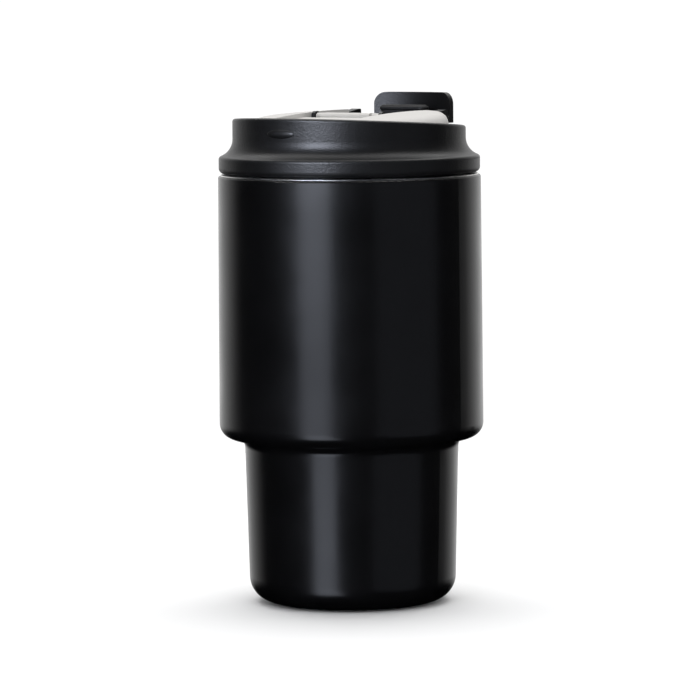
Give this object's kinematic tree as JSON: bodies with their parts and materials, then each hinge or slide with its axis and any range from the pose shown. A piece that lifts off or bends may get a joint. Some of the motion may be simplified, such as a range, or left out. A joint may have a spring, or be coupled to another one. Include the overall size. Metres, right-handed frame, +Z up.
{
  "type": "insulated travel mug",
  "caption": "Double-walled steel travel mug with a stepped body that fits a car cup holder, a push-in lid and a flip strap that opens the drinking port.",
  "frame": {"origin": "centre of the foot, on the surface that the mug stands on", "axes": "+Z up along the mug's axis, -Y towards the drinking spout, X along the strap's hinge pin"},
  "size_m": [0.088, 0.088, 0.169],
  "materials": {
    "black_coat": "satin",
    "bare_steel": "satin",
    "solder": "satin",
    "getter_metal": "matte",
    "black_plastic": "fine grain",
    "grey_plastic": "satin",
    "foam": "foamed",
    "black_silicone": "matte"
  },
  "bodies": {
    "vessel": {"outer_shell": "black_coat", "outer_base": "black_coat", "inner_liner": "bare_steel", "liner_base": "bare_steel", "getter_cup": "bare_steel", "getter": "getter_metal", "vacuum_seal": "solder", "foot_pad": "black_silicone"},
    "lid": {"lid_cover": "black_plastic", "lid_deck": "grey_plastic", "lid_inner": "black_plastic", "lid_insulation": "foam", "lid_gasket": "black_silicone", "port_seal": "black_silicone", "vent_valve": "black_silicone", "hinge_pin": "bare_steel"},
    "strap": {"flip_strap": "black_plastic", "strap_stopper": "black_silicone"}
  },
  "joints": [
    {"name": "lid_lift", "type": "slide", "parent": "vessel", "child": "lid", "axis": [0, 0, 1], "range_m": [0, 0.06]},
    {"name": "strap_flip", "type": "hinge", "parent": "lid", "child": "strap", "pos_m": [0, 0, 0.1619], "axis": [1, 0, 0], "range_deg": [0, 180]}
  ]
}
